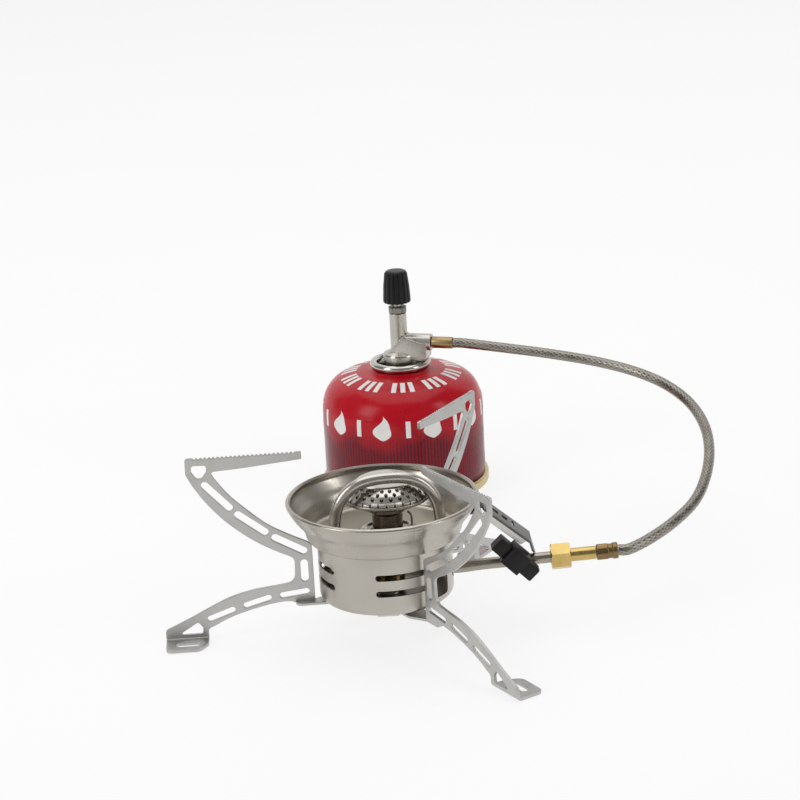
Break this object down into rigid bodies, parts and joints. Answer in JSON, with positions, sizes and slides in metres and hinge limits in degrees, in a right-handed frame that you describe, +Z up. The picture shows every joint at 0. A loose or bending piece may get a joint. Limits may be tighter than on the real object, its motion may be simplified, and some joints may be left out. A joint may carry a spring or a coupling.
{
  "type": "canister stove",
  "caption": "Remote-canister camping stove: burner bowl and head on swinging sheet-metal legs, gas hose, control valve and threaded gas canister.",
  "frame": {"origin": "on the ground, under the middle of the burner, legs, fittings and canister, with the hose left out", "axes": "+Z up; +X from the burner along its gas pipe; +Y from the burner towards the canister"},
  "size_m": [0.2672, 0.331, 0.1182],
  "materials": {
    "steel_bowl": "brushed and lightly polished stainless steel",
    "steel_bright": "polished stainless steel",
    "steel_legs": "tumbled matt stainless sheet",
    "steel_dark": "heat-darkened steel",
    "brass": "turned brass",
    "bronze": "dark crimped brass",
    "chrome_valve": "nickel plated brass",
    "black_plastic": "matt black nylon",
    "rubber": "nitrile rubber",
    "ceramic": "glazed white ceramic",
    "braid": "braided stainless hose",
    "red_paint": "gloss red lithographed tinplate",
    "gold_lacquer": "gold lacquered tinplate"
  },
  "bodies": {
    "burner_and_valve": {"burner_bowl": "steel_bowl", "burner_drum": "steel_bowl", "burner_cup": "steel_dark", "flame_spreader": "steel_bright", "mixing_tube": "steel_bright", "jet_block": "brass", "jet": "brass", "generator_tube": "steel_bright", "electrode_ceramic": "ceramic", "electrode_wire": "steel_bright", "pivot_sleeve": "steel_bright", "pivot_washer_top": "brass", "pivot_washer_bottom": "brass", "pivot_nut": "steel_bright", "igniter_body": "black_plastic", "igniter_spring": "steel_bright", "igniter_bracket": "steel_bright", "hose_nut": "brass", "hose_tail": "brass", "hose_crimp": "bronze", "hose": "braid", "valve_sleeve": "brass", "valve_body": "chrome_valve", "gland_nut": "steel_dark", "spindle_o_ring": "rubber", "socket_o_ring": "rubber", "depressor_pin": "brass"},
    "left_leg": {"leg_left": "steel_legs"},
    "front_leg": {"leg_front": "steel_legs"},
    "rear_leg": {"leg_rear": "steel_legs"},
    "knob": {"control_knob": "black_plastic", "valve_spindle": "steel_bright"},
    "button": {"igniter_button": "black_plastic"},
    "canister": {"canister_shell": "red_paint", "canister_base": "gold_lacquer", "mounting_cup": "steel_bright", "canister_gasket": "rubber", "canister_valve_housing": "black_plastic", "canister_valve_stem": "brass"}
  },
  "joints": [
    {"name": "left_leg_swing", "type": "hinge", "parent": "burner_and_valve", "child": "left_leg", "pos_m": [0.00315, -0.07736, 0], "axis": [0, 0, 1], "range_deg": [-5, 5]},
    {"name": "front_leg_swing", "type": "hinge", "parent": "burner_and_valve", "child": "front_leg", "pos_m": [0.00315, -0.07736, 0], "axis": [0, 0, 1], "range_deg": [-100, 36]},
    {"name": "rear_leg_swing", "type": "hinge", "parent": "burner_and_valve", "child": "rear_leg", "pos_m": [0.00315, -0.07736, 0], "axis": [0, 0, 1], "range_deg": [-40, 107]},
    {"name": "knob_turn", "type": "hinge", "parent": "burner_and_valve", "child": "knob", "pos_m": [0.01505, 0.12054, 0.1], "axis": [0, 0, 1], "range_deg": [0, 720]},
    {"name": "canister_unscrew", "type": "hinge", "parent": "burner_and_valve", "child": "canister", "pos_m": [0.01505, 0.12054, 0], "axis": [0, 0, -1], "range_deg": [0, 1440]},
    {"name": "igniter_press", "type": "slide", "parent": "burner_and_valve", "child": "button", "axis": [-0.7071, 0, 0.7071], "range_m": [0, 0.003], "stiffness_N_per_m": 600, "springref_m": -0.001, "deforming": ["igniter_spring"]}
  ]
}
